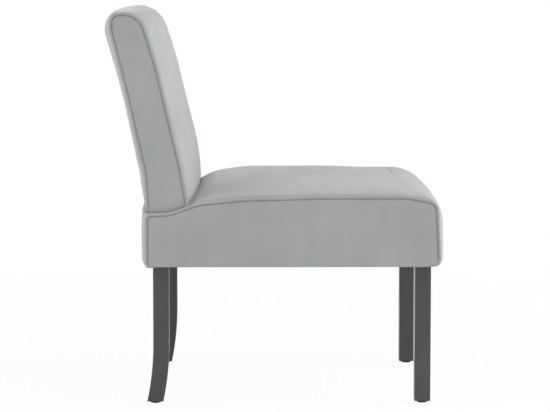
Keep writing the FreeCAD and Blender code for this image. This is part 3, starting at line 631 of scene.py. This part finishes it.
def make_welt(name, cad_node, grid, sign):
    points, painted_shade, uv = grid
    faces = grid_faces(*points.shape[:2], closed_columns=True)
    faces = faces if sign < 0 else faces[:, ::-1]
    piece = make_piece(name, points.reshape(-1, 3), faces, painted_shade, uv)
    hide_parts(cad_node)
    return piece


REAR_HOOK, FRONT_HOOK = 275.8 * MM, 279.4 * MM    # heights at which the welt turns in under the box
seat_welt_pattern = SEAT_PATTERN.copy()
seat_welt_pattern[0, 1], seat_welt_pattern[8, 1] = REAR_HOOK, FRONT_HOOK
welts = []
for n, (name, sign) in enumerate(SIDES.items()):
    seat_grid = welt_tube(seat_welt_pattern, SEAT_SIDE, sign, SEAT_TAIL, SEAT_DIVE, 51 + n)
    back_grid = welt_tube(BACK_PATTERN, BACK_SIDE, sign, BACK_TAIL, BACK_DIVE, 61 + n)
    welts.append(make_welt("seat_welt_" + name, "seat_piping_" + name, seat_grid, sign))
    welts.append(make_welt("back_welt_" + name, "back_piping_" + name, back_grid, sign))

# %% [markdown]
# ## Velvet
#
# Velvet is a short upright pile. Each tuft catches light along its side, so the cloth brightens
# where it turns away from the eye (sheen), and any brush of a hand lays the pile over and leaves
# a paler or darker patch. The colour therefore wanders on three scales: broad soft patches, upright
# streaks, and the single tufts. The bump has the tufts too, over a soft wave. Near a seam and along
# the backrest's recess, painted shade from an attribute darkens the cloth by up to 30 %.

# %% Material helpers
def new_material(name):
    material = bpy.data.materials.new(name)
    material.use_nodes = True
    tree = material.node_tree
    return material, tree, tree.nodes["Principled BSDF"]


def add(tree, kind, **settings):
    node = tree.nodes.new(kind)
    for key, value in settings.items():
        if hasattr(node, key):
            setattr(node, key, value)
        else:
            node.inputs[key.replace("_", " ")].default_value = value
    return node


def noise(tree, vector, scale, detail=3.0, roughness=0.55):
    node = add(tree, "ShaderNodeTexNoise", Scale=scale, Detail=detail, Roughness=roughness)
    tree.links.new(vector, node.inputs["Vector"])
    return node.outputs["Fac"]


def ramp(tree, value, low, high, from_low=0.3, from_high=0.7):
    """Maps a noise value to the range from low to high."""
    node = add(tree, "ShaderNodeMapRange")
    tree.links.new(value, node.inputs["Value"])
    for key, number in (("From Min", from_low), ("From Max", from_high), ("To Min", low), ("To Max", high)):
        node.inputs[key].default_value = number
    return node.outputs["Result"]


def times(tree, a, b):
    node = tree.nodes.new("ShaderNodeMath")
    node.operation = "MULTIPLY"
    for k, value in enumerate((a, b)):
        if isinstance(value, (int, float)):
            node.inputs[k].default_value = value
        else:
            tree.links.new(value, node.inputs[k])
    return node.outputs[0]


def shaded(tree, colour, factor):
    """A colour times a varying factor."""
    node = tree.nodes.new("ShaderNodeVectorMath")
    node.operation = "SCALE"
    if isinstance(colour, tuple):
        node.inputs[0].default_value = colour
    else:
        tree.links.new(colour, node.inputs[0])
    tree.links.new(factor, node.inputs["Scale"])
    return node.outputs[0]


def object_place(tree, stretch=(1, 1, 1)):
    place = tree.nodes.new("ShaderNodeTexCoord")
    mapping = tree.nodes.new("ShaderNodeMapping")
    mapping.inputs["Scale"].default_value = stretch
    tree.links.new(place.outputs["Object"], mapping.inputs["Vector"])
    return mapping.outputs["Vector"]


def bump(tree, shader, layers):
    """Chains bumps: (height, strength, distance in metres) each."""
    last = None
    for height, strength, distance in layers:
        node = add(tree, "ShaderNodeBump", Strength=strength, Distance=distance)
        tree.links.new(height, node.inputs["Height"])
        if last is not None:
            tree.links.new(last, node.inputs["Normal"])
        last = node.outputs["Normal"]
    tree.links.new(last, shader.inputs["Normal"])


def put_on(material, *objects):
    for item in objects:
        item.data.materials.clear()
        item.data.materials.append(material)


print("material helpers ready")

# %% The velvet
VELVET = (0.375, 0.392, 0.372)


def velvet(name, colour):
    material, tree, shader = new_material(name)
    place = object_place(tree)
    patches = ramp(tree, noise(tree, place, 7.0, 3.0, 0.6), 0.94, 1.05)
    strokes = ramp(tree, noise(tree, object_place(tree, (1, 1, 0.35)), 38.0, 2.0), 0.975, 1.02)
    tufts = noise(tree, place, 1500.0, 2.0, 0.7)
    # Painted shade: the attribute darkens the colour to 70 % at most.
    shade_attribute = add(tree, "ShaderNodeAttribute", attribute_name="painted_shade")
    shadow = ramp(tree, shade_attribute.outputs["Fac"], 1.0, 0.70, 0.0, 1.0)
    factor = times(tree, times(tree, patches, strokes), times(tree, ramp(tree, tufts, 0.93, 1.07), shadow))
    tree.links.new(shaded(tree, colour, factor), shader.inputs["Base Color"])
    shader.inputs["Roughness"].default_value = 0.9
    shader.inputs["Specular IOR Level"].default_value = 0.18
    shader.inputs["Sheen Weight"].default_value = 0.4
    shader.inputs["Sheen Roughness"].default_value = 0.42
    shader.inputs["Sheen Tint"].default_value = (1.0, 1.0, 1.0, 1.0)
    layers = [(noise(tree, place, 26.0, 2.0), 0.35, 0.0012), (tufts, 0.3, 0.0003)]
    bump(tree, shader, layers)
    return material


velvet_cloth = velvet("velvet_light_grey", VELVET)
# The welts are the same velvet, painted 6 % darker as shade.
welt_velvet_painted_darker = velvet("velvet_welt_painted_shade", tuple(0.94 * c for c in VELVET))
put_on(velvet_cloth, seat_cover, back_cover, *side_panels)
put_on(welt_velvet_painted_darker, *welts)
print("velvet on", 2 + len(side_panels), "covers and", len(welts), "welts")

# %% [markdown]
# ## Lacquered legs and dark glides
#
# The legs are hardwood under satin black lacquer. A thin film of lacquer still shows the long
# grain as faint ridges, and its clear top coat is glossy, so a pale line runs down each rounded
# edge. The glides under the legs are moulded plastic with a fine texture.

# %% Legs and glides
def satin_lacquer():
    material, tree, shader = new_material("satin_black_lacquer")
    grain = noise(tree, object_place(tree, (1, 1, 0.06)), 260.0, 4.0, 0.6)
    cloud = noise(tree, object_place(tree), 14.0, 2.0)
    factor = times(tree, ramp(tree, grain, 0.9, 1.1), ramp(tree, cloud, 0.92, 1.08))
    tree.links.new(shaded(tree, (0.043, 0.043, 0.043), factor), shader.inputs["Base Color"])
    tree.links.new(ramp(tree, cloud, 0.36, 0.46), shader.inputs["Roughness"])
    shader.inputs["Specular IOR Level"].default_value = 0.5
    shader.inputs["Coat Weight"].default_value = 0.5
    shader.inputs["Coat Roughness"].default_value = 0.22
    bump(tree, shader, [(grain, 0.12, 0.0003)])
    return material


def moulded_plastic(name, colour):
    material, tree, shader = new_material(name)
    texture = noise(tree, object_place(tree), 1800.0, 2.0)
    tree.links.new(shaded(tree, colour, ramp(tree, texture, 0.9, 1.1)), shader.inputs["Base Color"])
    shader.inputs["Roughness"].default_value = 0.55
    bump(tree, shader, [(texture, 0.2, 0.0002)])
    return material


nodes = frame["nodes"]
legs = {name: node for name, node in nodes.items() if name.startswith("leg_") and "bolts" not in name}
glides = [node for name, node in nodes.items() if name.startswith("glide_")]
put_on(satin_lacquer(), *legs.values())
put_on(moulded_plastic("dark_plastic", (0.03, 0.03, 0.03)), *glides)
print(len(legs), "legs and", len(glides), "glides finished")

# %% [markdown]
# ## What is inside
#
# Plywood, hardboard, foam, wadding, webbing, burlap and zinc-plated steel are all covered, and
# they get their own finish all the same, for whoever opens the chair.

# %% Inside materials
def plywood():
    material, tree, shader = new_material("plywood")
    place = object_place(tree, (0.12, 1, 1))
    grain = noise(tree, place, 90.0, 5.0, 0.65)
    factor = ramp(tree, grain, 0.75, 1.12)
    tree.links.new(shaded(tree, (0.52, 0.37, 0.22), factor), shader.inputs["Base Color"])
    shader.inputs["Roughness"].default_value = 0.7
    bump(tree, shader, [(grain, 0.2, 0.0004)])
    return material


def plain_stuff(name, colour, scale, low, high, roughness, depth):
    """One noise drives both the colour and the bump."""
    material, tree, shader = new_material(name)
    texture = noise(tree, object_place(tree), scale, 4.0, 0.65)
    tree.links.new(shaded(tree, colour, ramp(tree, texture, low, high)), shader.inputs["Base Color"])
    shader.inputs["Roughness"].default_value = roughness
    bump(tree, shader, [(texture, 0.5, depth)])
    return material


def woven(name, colour, threads_per_metre):
    """Two crossed waves, one for the warp and one for the weft, multiplied into a basket of small bumps."""
    material, tree, shader = new_material(name)
    waves = []
    for direction in ("X", "Y"):
        wave = add(tree, "ShaderNodeTexWave", wave_type="BANDS", bands_direction=direction,
                   Scale=threads_per_metre / 20.0, Distortion=1.5, Detail=2.0)
        tree.links.new(object_place(tree), wave.inputs["Vector"])
        waves.append(wave.outputs["Fac"])
    weave = times(tree, waves[0], waves[1])
    tree.links.new(shaded(tree, colour, ramp(tree, weave, 0.7, 1.15, 0.0, 1.0)), shader.inputs["Base Color"])
    shader.inputs["Roughness"].default_value = 0.9
    bump(tree, shader, [(weave, 0.6, 0.0005)])
    return material


def zinc():
    material, tree, shader = new_material("zinc_plate")
    texture = noise(tree, object_place(tree), 400.0, 3.0)
    tree.links.new(ramp(tree, texture, 0.28, 0.42), shader.inputs["Roughness"])
    factor = ramp(tree, texture, 0.92, 1.05)
    tree.links.new(shaded(tree, (0.62, 0.62, 0.60), factor), shader.inputs["Base Color"])
    shader.inputs["Metallic"].default_value = 1.0
    bump(tree, shader, [(texture, 0.15, 0.0001)])
    return material


inside = {
    "board_wood": plywood(),
    "hardboard": plain_stuff("hardboard", (0.24, 0.14, 0.08), 500.0, 0.85, 1.1, 0.6, 0.0002),
    "foam": plain_stuff("cream_foam", (0.80, 0.76, 0.60), 1200.0, 0.8, 1.08, 0.95, 0.0008),
    "wadding": plain_stuff("white_wadding", (0.86, 0.86, 0.84), 240.0, 0.85, 1.06, 1.0, 0.0015),
    "webbing": woven("black_webbing", (0.03, 0.03, 0.03), 700),
    "burlap": woven("burlap", (0.42, 0.31, 0.17), 500),
    "steel": zinc(),
}
slots = {part["node"]: part["material_slot"] for part in frame["record"]["subparts"]}
for name, node in nodes.items():
    if slots[name] in inside:
        put_on(inside[slots[name]], node)
print("inside finishes", sorted(inside))

# %% [markdown]
# ## The dust cover
#
# A thin black non-woven cloth closes the seat from below. It is stapled to the box every few
# centimetres, has an opening round each leg, and hangs down a little in the middle.

# %% Dust cover
def spread(low, high, count, extra):
    """Even steps from low to high, with extra places put in so that the grid has lines there."""
    return np.unique(np.concatenate([np.linspace(low, high, count), extra]).round(5))


low, high = (np.array(corner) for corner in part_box("seat_dust_cover"))
LEG = 31 * MM
ROOM = 1.5 * MM               # cloth to leg, all round
REAR_LEG_FRONT = 209 * MM     # front face of a rear leg where it enters the seat
openings = []                 # x from, x to, y from, y to
for name in legs:
    leg_low, leg_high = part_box(name)
    leg_y = leg_low[1] if "front" in name else REAR_LEG_FRONT
    openings.append((leg_low[0] - ROOM, leg_high[0] + ROOM, leg_y - ROOM, leg_y + LEG + ROOM))
openings = np.array(openings)


def in_opening(places, room):
    """Whether each place lies in an opening that is widened by the room on every side."""
    x, y = places[:, 0, None], places[:, 1, None]
    return ((x > openings[:, 0] - room) & (x < openings[:, 1] + room)
            & (y > openings[:, 2] - room) & (y < openings[:, 3] + room)).any(1)


x_lines = spread(low[0], high[0], 121, openings[:, :2].ravel())
y_lines = spread(low[1], high[1], 131, openings[:, 2:].ravel())
x, y = np.meshgrid(x_lines, y_lines, indexing="ij")
flat = np.stack([x, y, np.full_like(x, low[2])], -1)
edge = np.minimum.reduce([x - low[0], high[0] - x, y - low[1], high[1] - y])
hang = 3.2 * MM * smooth_step(0, 150 * MM, edge)
hang += 0.5 * MM * (1 + uneven(flat, 90 * MM, 71)) * smooth_step(10 * MM, 50 * MM, edge)
flat[..., 2] -= hang
faces = grid_faces(*x.shape)
middle = flat.reshape(-1, 3)[faces].mean(1)
used, faces = np.unique(faces[~in_opening(middle, 0)], return_inverse=True)
cloth = flat.reshape(-1, 3)[used]
dust_cover = make_piece("dust_cover", cloth, faces.reshape(-1, 4), uv=cloth[:, :2])
if dust_cover.data.polygons[0].normal.z > 0:
    dust_cover.data.flip_normals()
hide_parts("seat_dust_cover")
put_on(plain_stuff("non_woven_black", (0.02, 0.02, 0.02), 700.0, 0.7, 1.3, 0.95, 0.0004), dust_cover)
print("dust cover hangs", round(float(hang.max()) / MM, 1), "mm round", len(openings), "legs")

# %% Staples
EDGE_TO_STAPLE = 9 * MM
STAPLE_GAP = 36 * MM
STAPLE_TO_LEG = 9 * MM
inset_low, inset_high = low + EDGE_TO_STAPLE, high - EDGE_TO_STAPLE
along_x = np.arange(-6, 7) * STAPLE_GAP
along_y = (low[1] + high[1]) / 2 + np.arange(-7, 8) * STAPLE_GAP
rows = []                     # x, y and turn of each staple
for side in (inset_low[1], inset_high[1]):
    rows.append(np.column_stack([along_x, np.full_like(along_x, side), np.zeros_like(along_x)]))
for side in (inset_low[0], inset_high[0]):
    rows.append(np.column_stack([np.full_like(along_y, side), along_y, np.full_like(along_y, np.pi / 2)]))
staples = np.concatenate(rows)
staples = staples[~in_opening(staples, STAPLE_TO_LEG)]
chance = np.random.default_rng(83)
staples += chance.uniform(-1, 1, staples.shape) * [1.5 * MM, 1.0 * MM, 0.12]


def staple_wires(staples):
    """A flat wire bent into a bracket: a ring of six points is carried along a crown 10 mm long and up both
    of its legs."""
    u = np.array([-5, -5, -4.8, -4.3, 0, 4.3, 4.8, 5, 5]) * MM
    up = np.array([2.0, 0.7, 0.2, 0, 0, 0, 0.2, 0.7, 2.0]) * MM
    ahead = unit(np.gradient(np.column_stack([u, up]), axis=0))
    ring = np.linspace(0, 2 * np.pi, 6, endpoint=False)
    thick, wide = 0.3 * MM * np.cos(ring), 0.55 * MM * np.sin(ring)
    local_u = u[:, None] - ahead[:, 1:] * thick
    local_up = up[:, None] + ahead[:, :1] * thick
    cos, sin = np.cos(staples[:, 2])[:, None, None], np.sin(staples[:, 2])[:, None, None]
    x = staples[:, 0, None, None] + local_u * cos - wide * sin
    y = staples[:, 1, None, None] + local_u * sin + wide * cos
    z = np.broadcast_to(low[2] - 0.25 * MM + local_up, x.shape)
    return np.stack([x, y, z], -1)


wires = staple_wires(staples)
steps_along, steps_round = wires.shape[1:3]
one = grid_faces(steps_along, steps_round, closed_columns=True)
first_point = steps_along * steps_round * np.arange(len(staples))
faces = (one[None] + first_point[:, None, None]).reshape(-1, 4)
staple_piece = make_piece("dust_cover_staples", wires.reshape(-1, 3), faces)
put_on(inside["steel"], staple_piece)
print(len(staples), "staples")

# %% [markdown]
# ## Light and surroundings
#
# Catalogue pictures of furniture are lit from large soft boxes, so that no hard shadow falls. The
# front of the backrest is the brightest part here and the side panel the darkest, so two soft boxes
# stand in front of the chair, one of them high, and one stands behind it. A weak one at the side and
# the white room fill the rest. The floor is a pale plane that keeps a trace of the chair's shadow,
# and camera rays see it as white further out.

# %% Lights
def area_light(name, at, aim_at, size, power):
    data = bpy.data.lights.new(name, "AREA")
    data.shape = "RECTANGLE"
    data.size, data.size_y = size
    data.energy = power
    lamp = bpy.data.objects.new(name, data)
    bpy.context.scene.collection.objects.link(lamp)
    lamp.location = at
    lamp.rotation_euler = (Vector(aim_at) - Vector(at)).to_track_quat("-Z", "Y").to_euler()
    print(name, power, "W")


MIDDLE = (0, 0, 0.4)
ROOM_LIGHT = 0.375            # how bright the room is as a light
BACKDROP = 1.0                # and as seen by the camera
area_light("high_front_soft_box", (-0.9, -2.6, 2.3), MIDDLE, (2.2, 1.6), 47)
area_light("front_soft_box", (0.2, -2.9, 1.6), MIDDLE, (2.0, 1.6), 56)
area_light("rear_soft_box", (-0.7, 2.6, 1.6), MIDDLE, (1.8, 1.8), 51)
area_light("side_soft_box", (-3.6, -0.4, 1.5), MIDDLE, (2.4, 2.0), 18)

world = bpy.data.worlds.new("white_room")
bpy.context.scene.world = world
world.use_nodes = True
tree = world.node_tree
background = tree.nodes["Background"]
seen = tree.nodes.new("ShaderNodeLightPath")
direct = tree.nodes.new("ShaderNodeMath")
direct.operation = "MAXIMUM"
tree.links.new(seen.outputs["Is Camera Ray"], direct.inputs[0])
tree.links.new(seen.outputs["Is Transmission Ray"], direct.inputs[1])
strength = tree.nodes.new("ShaderNodeMapRange")
tree.links.new(direct.outputs[0], strength.inputs["Value"])
strength.inputs["To Min"].default_value = ROOM_LIGHT
strength.inputs["To Max"].default_value = BACKDROP
tree.links.new(strength.outputs["Result"], background.inputs["Strength"])
background.inputs["Color"].default_value = (1, 1, 1, 1)
print("white room", ROOM_LIGHT, "as a light,", BACKDROP, "as the backdrop")

# %% Floor
WHITE_FROM, WHITE_TO = 0.9, 2.2     # metres from the chair over which the floor fades to white
floor_points = np.array([(-9, -9, 0), (9, -9, 0), (9, 9, 0), (-9, 9, 0)], float)
floor_mesh = bpy.data.meshes.new("floor")
floor_mesh.from_pydata(floor_points.tolist(), [], [(0, 1, 2, 3)])
floor = bpy.data.objects.new("floor", floor_mesh)
bpy.context.scene.collection.objects.link(floor)
material, tree, shader = new_material("pale_floor")
shader.inputs["Base Color"].default_value = (0.82, 0.82, 0.82, 1)
shader.inputs["Roughness"].default_value = 0.9
shader.inputs["Specular IOR Level"].default_value = 0.1
glow = add(tree, "ShaderNodeEmission", Color=(1, 1, 1, 1), Strength=1.0)
blend = tree.nodes.new("ShaderNodeMixShader")
seen = tree.nodes.new("ShaderNodeLightPath")
far = add(tree, "ShaderNodeVectorMath", operation="LENGTH")
tree.links.new(object_place(tree), far.inputs[0])
whiteness = ramp(tree, far.outputs["Value"], 0.94, 1.0, WHITE_FROM, WHITE_TO)
share = times(tree, seen.outputs["Is Camera Ray"], whiteness)
tree.links.new(share, blend.inputs[0])
tree.links.new(shader.outputs[0], blend.inputs[1])
tree.links.new(glow.outputs[0], blend.inputs[2])
tree.links.new(blend.outputs[0], tree.nodes["Material Output"].inputs["Surface"])
put_on(material, floor)
bpy.context.scene.view_settings.view_transform = "Standard"
print("floor white beyond", WHITE_TO, "m")
